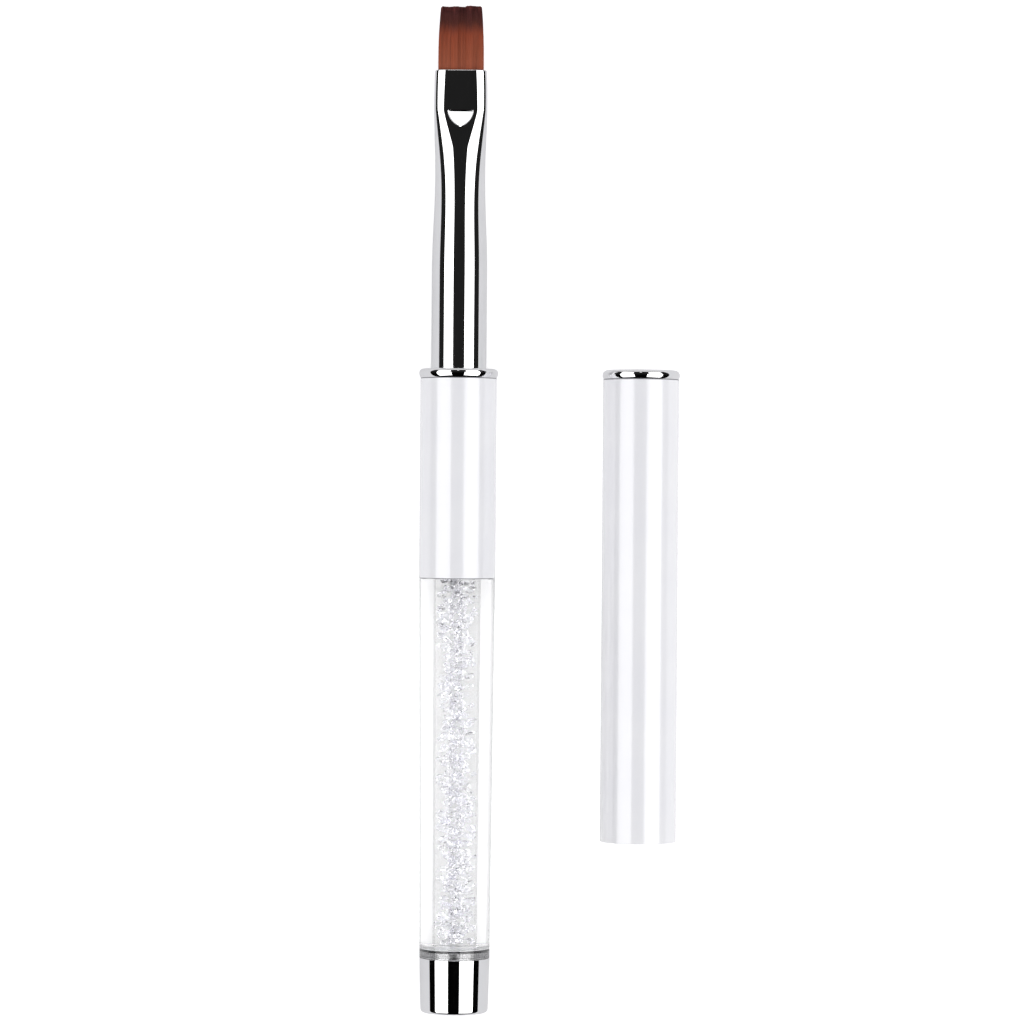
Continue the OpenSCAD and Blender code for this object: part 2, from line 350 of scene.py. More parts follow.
def pearl_lacquer():
    """White lacquer with a faint lilac pearl under a clear gloss coat."""
    made, tree, shader = new_material(
        "pearl_lacquer", Roughness=0.42, IOR=1.5, Coat_Weight=1.0, Coat_IOR=1.7)
    two_tone(tree, shader, 130, (0.84, 0.84, 0.865), (0.865, 0.865, 0.88))
    handled(tree, shader, "Coat Roughness", 200, 0.11, 0.15)
    return made


def clear_acrylic():
    made, tree, shader = new_material(
        "clear_acrylic", Transmission_Weight=1.0, IOR=1.49, Base_Color=(0.995, 0.995, 1, 1))
    handled(tree, shader, "Roughness", 220, 0.0, 0.02)
    return made


def wetted_wall():
    """The tube's inner wall where clear gel and glue wet it: light crosses it without bending."""
    return new_material("wetted_wall", Transmission_Weight=1.0, IOR=1.005, Roughness=0.0)[0]


def crystal(name, index, tone_a, tone_b):
    """Clear cut stones. Stones that the gel wets bend light less, so their index is lower."""
    made, tree, shader = new_material(name, Transmission_Weight=1.0, IOR=index)
    two_tone(tree, shader, 900, tone_a, tone_b)
    handled(tree, shader, "Roughness", 900, 0.0, 0.05)
    return made


HAIR_STOPS = [                # (how far along a hair, its colour there)
    (0.0, (0.31, 0.083, 0.041)), (0.35, (0.27, 0.064, 0.028)), (0.62, (0.24, 0.048, 0.02)),
    (0.8, (0.075, 0.017, 0.0115)), (0.99, (0.06, 0.0135, 0.013)), (1.06, (0.14, 0.035, 0.03))]
HAIR_SPAN = 1.12             # the whole ramp, past the tip, so that a shifted hair still has a colour
SHADE_SHIFT = 0.14           # how far up a hair's own tone moves the ramp


def hair_dye():
    """Reddish-brown hair that darkens towards its tip. "along" runs from 0 at the root to 1 at the
    tip, and "shade" is each hair's own tone."""
    made, tree, shader = new_material("kolinsky_hair", Roughness=0.5, IOR=1.5, Specular_IOR_Level=0.1)
    nodes, link = tree.nodes, tree.links.new
    along, shade = nodes.new("ShaderNodeAttribute"), nodes.new("ShaderNodeAttribute")
    along.attribute_name, shade.attribute_name = "along", "shade"
    ramp = nodes.new("ShaderNodeValToRGB")
    ramp.color_ramp.elements[1].position = HAIR_STOPS[-1][0] / HAIR_SPAN
    for place, _ in HAIR_STOPS[1:-1]:
        ramp.color_ramp.elements.new(place / HAIR_SPAN)
    for element, (_, colour) in zip(ramp.color_ramp.elements, HAIR_STOPS):
        element.color = (*colour, 1)
    shift = nodes.new("ShaderNodeMath")
    shift.operation = "MULTIPLY_ADD"
    shift.inputs[1].default_value = SHADE_SHIFT
    fit = nodes.new("ShaderNodeMath")
    fit.operation = "DIVIDE"
    fit.inputs[1].default_value = HAIR_SPAN
    tone = nodes.new("ShaderNodeHueSaturation")
    value = nodes.new("ShaderNodeMapRange")
    value.inputs["To Min"].default_value = 0.72
    value.inputs["To Max"].default_value = 1.35
    link(shade.outputs["Fac"], shift.inputs[0])
    link(along.outputs["Fac"], shift.inputs[2])
    link(shift.outputs[0], fit.inputs[0])
    link(fit.outputs[0], ramp.inputs["Fac"])
    link(shade.outputs["Fac"], value.inputs["Value"])
    link(ramp.outputs["Color"], tone.inputs["Color"])
    link(value.outputs["Result"], tone.inputs["Value"])
    link(tone.outputs["Color"], shader.inputs["Base Color"])
    return made


def mirror_ray(tree):
    """A value that is 1 on rays that leave a mirror-like surface and 0 on all others. Rays that pass
    through clear plastic count as glossy too, so they are taken out again."""
    path = tree.nodes.new("ShaderNodeLightPath")
    through = tree.nodes.new("ShaderNodeMath")
    through.operation = "SUBTRACT"
    through.use_clamp = True
    tree.links.new(path.outputs["Is Glossy Ray"], through.inputs[0])
    tree.links.new(path.outputs["Is Transmission Ray"], through.inputs[1])
    return through.outputs[0], path


def moulded(name, tone_a, tone_b, rough):
    """Plain moulded plastic, resin or thread, with a fine grain."""
    made, tree, shader = new_material(name, IOR=1.48)
    two_tone(tree, shader, 500, tone_a, tone_b)
    handled(tree, shader, "Roughness", 600, rough, rough + 0.15)
    return made


CHROME = chrome_plate()
PEARL = pearl_lacquer()
ACRYLIC = clear_acrylic()
WETTED = wetted_wall()
SPIGOT_SHADE_CHROME = glued_chrome_painted_shade()
JOINT_SHADE = joint_shade_band()
RIM_STONE = crystal("rim_stone", 1.4, (0.94, 0.94, 0.99), (1.0, 1.0, 1.0))
CORE_STONE = crystal("core_stone", 1.75, (0.93, 0.92, 0.98), (1.0, 1.0, 1.0))
HAIR = hair_dye()
WHITE_PLASTIC = moulded("white_plastic", (0.85, 0.85, 0.85), (0.9, 0.9, 0.9), 0.35)
CORE_PLASTIC = moulded("core_plastic", (0.7, 0.66, 0.58), (0.74, 0.7, 0.62), 0.5)
SET_RESIN = moulded("set_resin", (0.5, 0.32, 0.1), (0.58, 0.39, 0.14), 0.2)
CLEAR_GLUE = moulded("set_glue", (0.85, 0.86, 0.88), (0.9, 0.9, 0.92), 0.15)
COTTON = moulded("cotton_thread", (0.74, 0.69, 0.58), (0.82, 0.78, 0.68), 0.75)
BOUND_HAIR = moulded("bound_hair", (0.2, 0.06, 0.03), (0.26, 0.08, 0.04), 0.5)


def finish_piece(piece, body, made, slot, *nodes):
    """Gives a piece its material and body, and hides the CAD nodes that it stands for. slot is not used."""
    if not piece.data.materials:
        piece.data.materials.append(made)
    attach(piece, body)
    if nodes:
        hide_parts(*nodes)
    return piece


def second_material(piece, first, second, chosen):
    """Puts the second material on the chosen faces. chosen gets the faces' middles, as an array."""
    middle = np.empty(3 * len(piece.data.polygons))
    piece.data.polygons.foreach_get("center", middle)
    piece.data.materials.append(first)
    piece.data.materials.append(second)
    piece.data.polygons.foreach_set("material_index", chosen(middle.reshape(-1, 3)).astype(np.int32))


# Handle

def end_plug():
    """Tapered chrome plug with a rounded butt edge and a spigot that goes into the tube."""
    plug = turned("plug_turned", BRUSH_AXIS, [
        (BUTT, 0, 0), (BUTT, PLUG_BUTT_R, PLUG_EDGE), (PLUG_END, PLUG_TOP_R, CHROME_EDGE),
        (PLUG_END, SPIGOT_R, CHROME_EDGE), (SPIGOT_END, SPIGOT_R, PLUG_EDGE), (SPIGOT_END, 0, 0)],
        solid=True)
    # the spigot takes the darker chrome, whose tone is painted shade
    second_material(plug, CHROME, SPIGOT_SHADE_CHROME, lambda at: at[:, 1] > PLUG_END + CHROME_EDGE)
    return finish_piece(plug, "brush", CHROME, "chrome", "end_plug")


def acrylic_tube():
    """Clear tube: tapered outside, bored through, counterbored for the plug, with a tenon in the sleeve."""
    tenon_end = ends("acrylic_tube")[1]
    tenon_r = radius_of("upper_sleeve") - WALL - SLIP
    shoulder = SLEEVE_START - SHOULDER_GAP
    well_end = PLUG_END + WELL_DEPTH
    well_r = SPIGOT_R + SLIP
    corners = [
        (PLUG_END, PLUG_TOP_R), (shoulder, TUBE_TOP_R), (shoulder, tenon_r), (tenon_end, tenon_r),
        (tenon_end, BORE_TOP_R), (well_end, BORE_BUTT_R), (well_end, well_r), (PLUG_END, well_r)]
    tube = turned("tube_polished", BRUSH_AXIS, [(*corner, CUT_EDGE) for corner in corners])
    wet_r = well_r + 0.5 * CUT_EDGE
    second_material(tube, ACRYLIC, WETTED, lambda at: (at[:, 1] > PLUG_END + 2 * CUT_EDGE) & (
        np.hypot(at[:, 0] - BRUSH_AXIS[0], at[:, 2] - BRUSH_AXIS[1]) < wet_r))
    return finish_piece(tube, "brush", ACRYLIC, "clear_acrylic", "acrylic_tube")


def pearl_tube(name, axis, outer, start, stop, edge, node, body, shaded_start):
    """A lacquered tube with a small round on both of its outer edges. Its far end, and its near one
    when the flag for it is set, get a thin dark band: painted shade along the joint."""
    inner = outer - WALL
    tube = turned(name, axis, [
        (start, outer, edge), (stop, outer, edge), (stop, inner, edge / 2), (start, inner, edge / 2)])
    shaded_to = start + SHADE_BAND if shaded_start else -math.inf
    # the dark band at the ends is painted shade along the joints
    second_material(tube, PEARL, JOINT_SHADE, lambda at: (at[:, 1] < shaded_to) | (at[:, 1] > stop - SHADE_BAND))
    return finish_piece(tube, body, PEARL, "pearl_lacquer", node)


def bead_outline(start, stop, outer, handle_side, steps=12):
    """Outline of a bead in (y, radius), which stands on a tube that ends at start.

    From its top a round arc of 90 degrees goes down to its free face at stop. On the tube's side
    a flatter arc of radius handle_side goes down to the slope where it ends, and a small one on to
    its edge. Points of an arc stand at centre + radius * (sin, cos) of the slope.
    """
    lean, small = math.radians(BEAD_LEAN), CUT_EDGE
    wide = handle_side * math.sin(lean) + small * (1 - math.sin(lean))
    face = stop - start - wide
    top = start + wide
    slope = np.linspace(math.pi / 2, lean, 5)[:, None]
    foot = np.array([top, outer - handle_side])
    foot = foot + (handle_side - small) * np.array([-math.sin(lean), math.cos(lean)])
    edge = foot + small * np.hstack([-np.sin(slope), np.cos(slope)])
    slope = np.linspace(lean, 0, steps)[1:, None]
    flatter = [top, outer - handle_side] + handle_side * np.hstack([-np.sin(slope), np.cos(slope)])
    slope = np.linspace(0, math.pi / 2, steps)[1:, None]
    rounder = [top, outer - face] + face * np.hstack([np.sin(slope), np.cos(slope)])
    return [(float(y), float(r), 0) for y, r in np.concatenate([edge, flatter, rounder])]


def collar_ring():
    """Chrome bead with a spigot in the sleeve and a hole for the ferrule."""
    outer, bore = radius_of("collar_ring"), radius_of("ferrule") + SLIP
    spigot_r = radius_of("upper_sleeve") - WALL - SLIP
    bead_start = COLLAR_END - BEAD
    bead = bead_outline(bead_start, COLLAR_END, outer, COLLAR_BEAD_SIDE)
    ring = turned("collar_bead", BRUSH_AXIS, [
        (COLLAR_START, bore, CHROME_EDGE), (COLLAR_START, spigot_r, CHROME_EDGE),
        (bead_start, spigot_r, 0), *bead, (COLLAR_END, bore, CHROME_EDGE)])
    return finish_piece(ring, "brush", CHROME, "chrome", "collar_ring")


# Crystals, packed loosely in the bore

STONE_SIDES = 6
TABLE_HEIGHT = 0.72          # of a stone's table, where its ball has radius 1
STONE_GAP = 0.03 * MM        # least gap between a stone and the bore
PACK_SIZE = 0.8              # balls pack at this share of their size, as squeezed stones do
PACK_ROUNDS = 120
PACK_STEP = 0.6              # share of each push that is made in one round
LARGE_STONES, LARGE_LOW, LARGE_HIGH = 330, 0.42, 0.74    # number, and least and greatest radius
CHIPS, CHIP_LOW, CHIP_HIGH = 300, 0.13, 0.3
CHIP_ROOM = 0.95 * MM        # the chips stay this close to the bore's axis


def packed_centres(rng, radius, room, start, stop):
    """Centres for balls of given radius in a bore of radius room. Balls that overlap push each other
    apart by half their overlap, over and over, and none may leave the bore or pass its ends."""
    count = len(radius)
    angle, out = rng.uniform(0, 2 * np.pi, count), np.sqrt(rng.uniform(0, 1, count))
    y = start + (stop - start) * (np.arange(count) + 0.5) / count
    reach = (room - radius) * out
    centre = np.stack([reach * np.cos(angle), y, reach * np.sin(angle)], -1)
    for _ in range(PACK_ROUNDS):
        gap = centre[:, None] - centre[None]
        far = np.sqrt((gap ** 2).sum(-1)) + 1e-9
        overlap = np.maximum(0, (radius[:, None] + radius[None]) - far)
        np.fill_diagonal(overlap, 0)
        centre = centre + (gap / far[..., None] * overlap[..., None] * 0.5).sum(1) * PACK_STEP
        across = np.sqrt(centre[:, 0] ** 2 + centre[:, 2] ** 2)
        shrink = np.minimum(1, (room - radius) / np.maximum(across, 1e-9))
        centre[:, 0] *= shrink
        centre[:, 2] *= shrink
        centre[:, 1] = np.clip(centre[:, 1], start + radius, stop - radius)
    return centre


def stones(name, count, low, high, room, seed):
    """Each stone is a six-sided table, a girdle and a point, on a ball. Table corners stand at one
    height, girdle corners on the equator turned by half a side, and each stone is squeezed, jittered
    and turned at random."""
    rng = np.random.default_rng(seed)
    ball = rng.uniform(low, high, count) * MM
    start = PLUG_END + WELL_DEPTH + 0.1 * MM
    centre = packed_centres(rng, ball * PACK_SIZE, room, start, STOPPER_START)
    side = 2 * np.pi * np.arange(STONE_SIDES) / STONE_SIDES
    half = side + np.pi / STONE_SIDES
    flat = math.sqrt(1 - TABLE_HEIGHT * TABLE_HEIGHT)
    shape = np.concatenate([
        np.stack([flat * np.cos(side), flat * np.sin(side), np.full(STONE_SIDES, TABLE_HEIGHT)], -1),
        np.stack([np.cos(half), np.sin(half), np.zeros(STONE_SIDES)], -1),
        [[0, 0, -1.0]]])
    squeeze = rng.uniform(0.55, 1.0, (count, 1, 3))
    jitter = rng.normal(0, 0.09, (count, len(shape), 3))
    local = (shape * squeeze + jitter) * ball[:, None, None]
    turn = rng.normal(size=(count, 4))
    turn /= np.linalg.norm(turn, axis=1, keepdims=True)
    w, x, y, z = turn.T
    matrix = np.stack([
        1 - 2 * (y * y + z * z), 2 * (x * y - w * z), 2 * (x * z + w * y),
        2 * (x * y + w * z), 1 - 2 * (x * x + z * z), 2 * (y * z - w * x),
        2 * (x * z - w * y), 2 * (y * z + w * x), 1 - 2 * (x * x + y * y)], -1).reshape(-1, 3, 3)
    place = np.einsum("nij,nkj->nki", matrix, local) + centre[:, None]
    across = np.sqrt(place[..., 0] ** 2 + place[..., 2] ** 2)
    keep_in = np.minimum(1, (BORE_BUTT_R - STONE_GAP) / np.maximum(across, 1e-9))
    place[..., 0] *= keep_in
    place[..., 2] *= keep_in
    place += np.array([BRUSH_AXIS[0], 0, BRUSH_AXIS[1]])
    n = STONE_SIDES
    one = [tuple(range(n))]
    one += [((i + 1) % n, i, n + i) for i in range(n)]
    one += [((i + 1) % n, n + i, n + (i + 1) % n) for i in range(n)]
    one += [(n + (i + 1) % n, n + i, 2 * n) for i in range(n)]
    corners = 2 * n + 1
    faces = [tuple(v + corners * k for v in f) for k in range(count) for f in one]
    return mesh_piece(name, place.reshape(-1, 3), faces, smooth=False)


def crystals():
    """Large stones that fill the bore, and small bright chips that settled along its middle."""
    rim = stones("loose_crystals", LARGE_STONES, LARGE_LOW, LARGE_HIGH, BORE_BUTT_R, 41)
    finish_piece(rim, "brush", RIM_STONE, "crystal", "rim_crystals")
    core = stones("crystal_chips", CHIPS, CHIP_LOW, CHIP_HIGH, CHIP_ROOM, 17)
    finish_piece(core, "brush", CORE_STONE, "crystal", "core_crystals")


# Ferrule. Distances d are measured from its mouth towards the handle, in millimetres.

FLAT_LEN = 5.3               # end of the pressed flat
WIDEST_AT, WIDEST = 4.5, 6.93
NECK_AT, NECK_W = 13.6, 6.5
ROUND_AT = 26.3              # here the section is round again
CROWN = 1.25                 # half thickness, at the mouth, of the oval that the flat is pressed into
SHOULDER = 1.31              # the same at the end of the flat
MOUTH_W = 6.72
MOUTH_T = 2.06
FERRULE_R = radius_of("ferrule") / MM
PRESS_RISE = 0.24            # slope of the pressed ramp below the flat
DENT_LEN, DENT_HALF_W = 2.15, 1.62
DENT_SLOPE = math.radians(19.5)
FERRULE_WALL = 0.25
CREASE = 0.07                # round along the edges of the flat
DENT_WALL = 0.04             # width of the wall round the punch mark
DENT_FAR, DENT_NEAR = 7.7, 5.15    # rings lie close together between these distances


def ease(a, b, t):
    """Moves from a to b along half a cosine wave as t goes from 0 to 1."""
    return a + (b - a) * (1 - np.cos(np.pi * np.clip(t, 0, 1))) / 2


def soft_step(t):
    """0 below 0, 1 above 1, and smooth between them."""
    t = np.clip(t, 0, 1)
    return t * t * (3 - 2 * t)


def half_width(d):
    """Half width: bulging behind the mouth, narrow at the neck, round at the base."""
    front = WIDEST / 2 - (WIDEST - MOUTH_W) / 2 * (1 - np.clip(d / WIDEST_AT, 0, 1)) ** 2
    neck = ease(WIDEST, NECK_W, (d - WIDEST_AT) / (NECK_AT - WIDEST_AT)) / 2
    base = ease(NECK_W, 2 * FERRULE_R, (d - NECK_AT) / (ROUND_AT - NECK_AT)) / 2
    return np.where(d < WIDEST_AT, front, np.where(d < NECK_AT, neck, base))


def half_thick(d):
    """Half thickness of the oval before it is pressed: level but for a slight rise over the flat, then
    a quarter sine wave, to the power 0.9, up to the round."""
    rise = np.sin(np.pi / 2 * np.clip((d - FLAT_LEN) / (ROUND_AT - FLAT_LEN), 0, 1)) ** 0.9
    crown = CROWN + (SHOULDER - CROWN) * np.clip(d / FLAT_LEN, 0, 1)
    return crown + (FERRULE_R - crown) * rise


def press(d):
    """Height of the press tool's face: level over the flat, then a shallow ramp."""
    return MOUTH_T / 2 + PRESS_RISE * np.maximum(0, d - FLAT_LEN)


def dent_depth(x, d):
    """How far the punch mark lies under the pressed face, and how far inside its D a point is.

    The D's half width is its full width times (1 - f^2)^0.74, where f runs from 0 at the straight
    edge to 1 at the tip. Its floor rises towards the tip at one slope.
    """
    f = (d - FLAT_LEN) / DENT_LEN
    inside = DENT_HALF_W * np.maximum(0, 1 - np.clip(f, 0, 1) ** 2) ** 0.74 - np.abs(x)
    floor = press(FLAT_LEN + DENT_LEN) - (FLAT_LEN + DENT_LEN - d) * math.tan(DENT_SLOPE)
    edge = np.minimum(inside, np.minimum(d - FLAT_LEN, FLAT_LEN + DENT_LEN - d))
    return floor, edge


def ferrule_section(d, t, inset):
    """Points of the section at distance d: an oval at angle t, cut off by the press tool's face with
    a small round, and sunk to the punch mark's floor inside its D."""
    d, t = np.broadcast_arrays(d, t)
    x = (half_width(d) - inset) * np.cos(t)
    oval = (half_thick(d) - inset) * np.abs(np.sin(t))
    top = press(d) - inset
    near = np.maximum(CREASE - np.abs(oval - top), 0) / CREASE
    height = np.minimum(oval, top) - near * near * CREASE / 4
    floor, edge = dent_depth(x, d)
    sunk = np.minimum(height, floor - inset)
    height = height + (sunk - height) * soft_step(edge / DENT_WALL)
    return x, np.maximum(height, 0) * np.sign(np.sin(t))


def ferrule():
    """The shell: rings down the outside from the handle to the mouth, round the lip, and back up the
    inside. Rings and columns lie close together where the punch mark is."""
    dense = np.radians(np.arange(50, 130, 0.8))
    sparse = np.radians(np.arange(-50, 50, 2.0))
    t = np.concatenate([sparse, dense, sparse + np.pi, dense + np.pi]) + 0.002
    base = (MOUTH - FERRULE_BASE) / MM
    lip = FERRULE_WALL / 2
    outer = np.concatenate([
        np.linspace(base, ROUND_AT, 24, endpoint=False),
        np.linspace(ROUND_AT, DENT_FAR, 100, endpoint=False),
        np.linspace(DENT_FAR, DENT_NEAR, 62, endpoint=False), np.linspace(DENT_NEAR, lip, 40)])
    turn = np.linspace(0, np.pi, 9)[1:-1]
    inner = np.concatenate([
        np.linspace(lip, DENT_NEAR, 14, endpoint=False),
        np.linspace(DENT_NEAR, DENT_FAR, 16, endpoint=False),
        np.linspace(DENT_FAR, ROUND_AT, 14, endpoint=False), [ROUND_AT, base]])
    d = np.concatenate([outer, lip * (1 - np.sin(turn)), inner])
    inset = np.concatenate([0 * outer, lip * (1 - np.cos(turn)), 0 * inner + FERRULE_WALL])
    x, z = ferrule_section(d[:, None], t[None], inset[:, None])
    y = np.broadcast_to(MOUTH - d[:, None] * MM, x.shape)
    points = np.stack([BRUSH_AXIS[0] + x * MM, y, BRUSH_AXIS[1] + z * MM], -1)
    shell = mesh_piece("ferrule_shell", points.reshape(-1, 3), loop_faces(*x.shape))
    return finish_piece(shell, "brush", CHROME, "chrome", "ferrule")


# Hair

HAIRS = 1900
HAIR_SIDES = 5
HAIR_STEPS = 8
HAIR_R = 0.048               # mm
TUFT_HALF_W, TUFT_HALF_T = 2.97, 0.7
TIP_HALF_W, TIP_HALF_T = 2.68, 0.33
ROOT_DEPTH = 0.6             # mm that the free hair starts below the mouth
TUFT_LENGTH = (TIP - MOUTH) / MM
TUFT_POWER = 2.8             # 2 would make the tuft's section an ellipse, and more squares it off
SKIN_SHARE = 0.62            # share of the hairs that lie in the tuft's skin
SWAY, LIFT = 0.035, 0.03     # mm that a hair strays along the tuft's width and thickness
CORE_INSET = 0.1             # mm of the core below the tuft's skin
CORE_END = 0.965             # height of the core, whose last ring is smaller


def tuft_spread(h):
    """Half width and half thickness of the tuft at a height h from 0 at the mouth to 1 at the tip."""
    h = np.clip(h, 0, 1)
    wide = TUFT_HALF_W - (TUFT_HALF_W - TIP_HALF_W) * h ** 2.5
    return wide, TUFT_HALF_T - (TUFT_HALF_T - TIP_HALF_T) * h ** 1.6


def rounded_box(angle):
    """Points on a rounded box of half sizes 1: cos and sin to the power 2 / TUFT_POWER, signs kept."""
    across, over = np.cos(angle), np.sin(angle)
    power = 2 / TUFT_POWER
    return np.sign(across) * np.abs(across) ** power, np.sign(over) * np.abs(over) ** power


def paint_hair(piece, along, shade):
    """Stores what the hair's material reads at each point."""
    for title, values in (("along", along), ("shade", shade)):
        stored = piece.data.attributes.new(title, "FLOAT", "POINT")
        stored.data.foreach_set("value", values.astype(np.float32))


def hair_tuft():
    """Many fine hairs. Each keeps its own place in a rounded box that narrows towards the tip, sways a
    little on its way, and tapers at its end. A hair is a tube of five sides."""
    rng = np.random.default_rng(7)
    angle = rng.uniform(0, 2 * np.pi, HAIRS)
    out = np.where(
        rng.uniform(size=HAIRS) < SKIN_SHARE, rng.uniform(0.88, 1.0, HAIRS),
        np.sqrt(rng.uniform(0, 0.85, HAIRS)))
    u, v = (out * part for part in rounded_box(angle))
    spread = rng.uniform(size=HAIRS) < 0.5
    u = np.where(spread, rng.uniform(-1, 1, HAIRS), u)
    skin_v = (1 - np.abs(u) ** TUFT_POWER) ** (1 / TUFT_POWER)
    v = np.where(spread, np.sign(v) * skin_v * out, v)
    ragged = 1 - np.abs(rng.normal(0, 0.009, HAIRS)) - 0.025 * np.maximum(0, np.abs(u) - 0.93) / 0.07
    ragged -= 0.011 * (1 - soft_step((u - 0.2) / 0.06)) + 0.004 * (1 + np.sin(u * 9 + 0.6))
    step = np.linspace(0, 1, HAIR_STEPS + 1) ** 0.9
    root = -ROOT_DEPTH / TUFT_LENGTH
    h = root + step[None] * (ragged[:, None] - root)
    wide, thick = tuft_spread(h)
    sway = SWAY * np.sin(3.1 * h + rng.uniform(0, 6.28, (HAIRS, 1))) * np.clip(h, 0, 1)
    lift = LIFT * np.sin(3.7 * h + rng.uniform(0, 6.28, (HAIRS, 1))) * np.clip(h, 0, 1)
    thin = HAIR_R * rng.uniform(0.8, 1.15, (HAIRS, 1)) * (1 - 0.75 * step[None] ** 5)
    mid_x = u[:, None] * (wide - HAIR_R) + sway
    mid_z = v[:, None] * (thick - HAIR_R) + lift
    mid_y = h * TUFT_LENGTH
    round_angle = 2 * np.pi * np.arange(HAIR_SIDES) / HAIR_SIDES
    x = mid_x[..., None] + thin[..., None] * np.cos(round_angle)
    z = mid_z[..., None] + thin[..., None] * np.sin(round_angle)
    y = np.broadcast_to(mid_y[..., None], x.shape)
    points = np.stack([BRUSH_AXIS[0] + x * MM, MOUTH + y * MM, BRUSH_AXIS[1] + z * MM], -1)
    ring_total = HAIR_STEPS + 1
    per_hair = ring_total * HAIR_SIDES
    one = skin_faces(ring_total, HAIR_SIDES)
    one += [tuple(reversed(range(HAIR_SIDES))), tuple(range(per_hair - HAIR_SIDES, per_hair))]
    faces = [tuple(c + per_hair * n for c in f) for n in range(HAIRS) for f in one]
    tuft = mesh_piece("hair_tuft", points.reshape(-1, 3), faces)
    along = np.repeat(np.clip(h, 0, 1)[..., None], HAIR_SIDES, -1).ravel()
    lock = sum(np.sin(k * u + rng.uniform(0, 6.28)) for k in (9, 17, 31)) / 6
    shade = np.repeat(np.clip(rng.uniform(0.1, 0.9, HAIRS) * 0.7 + 0.15 + lock * 0.45, 0, 1), per_hair)
    paint_hair(tuft, along, shade)
    return tuft


def tuft_core():
    """The mass of hair inside the tuft: a rounded box that narrows towards the tip and stops short of
    it, so that no light passes between the outer hairs."""
    around = 64
    u, v = rounded_box(2 * np.pi * np.arange(around) / around)
    h = np.concatenate([np.linspace(-ROOT_DEPTH / TUFT_LENGTH, CORE_END - 0.01, 22), [CORE_END]])
    wide, thick = tuft_spread(h)
    shrink = np.where(h > CORE_END - 0.005, 0.7, 1.0)
    x = ((wide - CORE_INSET) * shrink)[:, None] * u
    z = ((thick - CORE_INSET) * shrink)[:, None] * v
    y = np.broadcast_to(h[:, None] * TUFT_LENGTH, x.shape)
    points = np.stack([BRUSH_AXIS[0] + x * MM, MOUTH + y * MM, BRUSH_AXIS[1] + z * MM], -1)
    rings = len(h)
    faces = skin_faces(rings, around)
    faces += [tuple(reversed(range(around))), tuple(range((rings - 1) * around, rings * around))]
    core = mesh_piece("hair_core", points.reshape(-1, 3), faces)
    along = np.repeat(np.clip(h, 0, 1), around)
    paint_hair(core, along, np.full(len(along), 0.15))
    return core


def hair():
    """The tuft and its core, with the hair's material, in place of the CAD tuft, which is hidden."""
    for piece in (hair_tuft(), tuft_core()):
        piece.data.materials.append(HAIR)
        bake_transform(piece)
        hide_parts("bristle_tuft")


# Cap

def cap_end():
    """Chrome plug with a bead round its head."""
    outer = radius_of("cap_end_plug")
    start, stop = ends("cap_end_plug")
    spigot_r = radius_of("cap_tube") - WALL - SLIP
    bead_start = stop - BEAD
    bead = bead_outline(bead_start, stop, outer, CAP_BEAD_SIDE)
    plug = turned("cap_bead", CAP_AXIS, [
        (start, 0, 0), (start, spigot_r, 3 * CHROME_EDGE), (bead_start, spigot_r, 0), *bead,
        (stop, 0, 0)], solid=True)
    return finish_piece(plug, "cap", CHROME, "chrome", "cap_end_plug")


def cap_liner():
    """Plastic sleeve in the cap's mouth, with a lead-in chamfer."""
    start, stop = ends("cap_liner")
    outer = radius_of("cap_liner")
    corners = [
        (start, outer), (stop, outer), (stop, LINER_BORE_R), (start + LINER_LEAD, LINER_BORE_R),
        (start, LINER_BORE_R + LINER_LEAD * 2 / 3)]
    liner = turned("cap_grip", CAP_AXIS, [(*corner, CUT_EDGE) for corner in corners])
    return finish_piece(liner, "cap", WHITE_PLASTIC, "white_plastic", "cap_liner")


def inner_finishes():
    """Materials for the CAD nodes that stay as they are, inside the brush."""
    finishes = {
        "plug_glue": CLEAR_GLUE, "bore_stopper": WHITE_PLASTIC, "ferrule_core": CORE_PLASTIC,
        "ferrule_bush": WHITE_PLASTIC, "resin_plug": SET_RESIN, "binding_thread": COTTON,
        "bristle_root": BOUND_HAIR}
    for node, made in finishes.items():
        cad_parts[node].data.materials.clear()
        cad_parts[node].data.materials.append(made)


# Stage, light and camera

FLOOR_TONE = 0.86
FLOOR_GLOW = 0.45
FLOOR_HALF = 4.0             # half side of the floor, in metres
STRIP_LIGHT = 2.6            # radiance of the two long softboxes
HANDLE_SPAN = (-40, 3.2)     # degrees along Y in which the strips light the handle and the cap
FERRULE_SPAN = (3.2, 42)     # and the ferrule
FLAG_ACROSS = (-17, 12)      # degrees across in which the black board stands
FLAG_ALONG = 34
FLAG_HEIGHT = 0.75           # metres
CAMERA_HEIGHT = 545 * MM     # above the brush's axis
CAMERA_AT = (-4.75 * MM, -0.37 * MM)
CAMERA_TURN = math.radians(0.43)
VIEW_WIDTH = 132.99 * MM     # width of the view in the plane of the two axes
SENSOR = 36                  # mm


def floor():
    """A wide plain floor. It glows a little, except in mirror reflections, which gives the high-key
    ground of a product shot and still lets a contact shadow form."""
    made, tree, shader = new_material(
        "floor_paper", Base_Color=(FLOOR_TONE, FLOOR_TONE, FLOOR_TONE, 1), Roughness=0.9,
        Specular_IOR_Level=0.0, Emission_Color=(1, 1, 1, 1))
    mirror, _ = mirror_ray(tree)
    glow = tree.nodes.new("ShaderNodeMath")
    glow.operation = "MULTIPLY_ADD"
    glow.inputs[1].default_value = -FLOOR_GLOW
    glow.inputs[2].default_value = FLOOR_GLOW
    tree.links.new(mirror, glow.inputs[0])
    tree.links.new(glow.outputs[0], shader.inputs["Emission Strength"])
    far = FLOOR_HALF
    flat_board("floor", [(-far, -far, 0), (far, -far, 0), (far, far, 0), (-far, far, 0)], made)


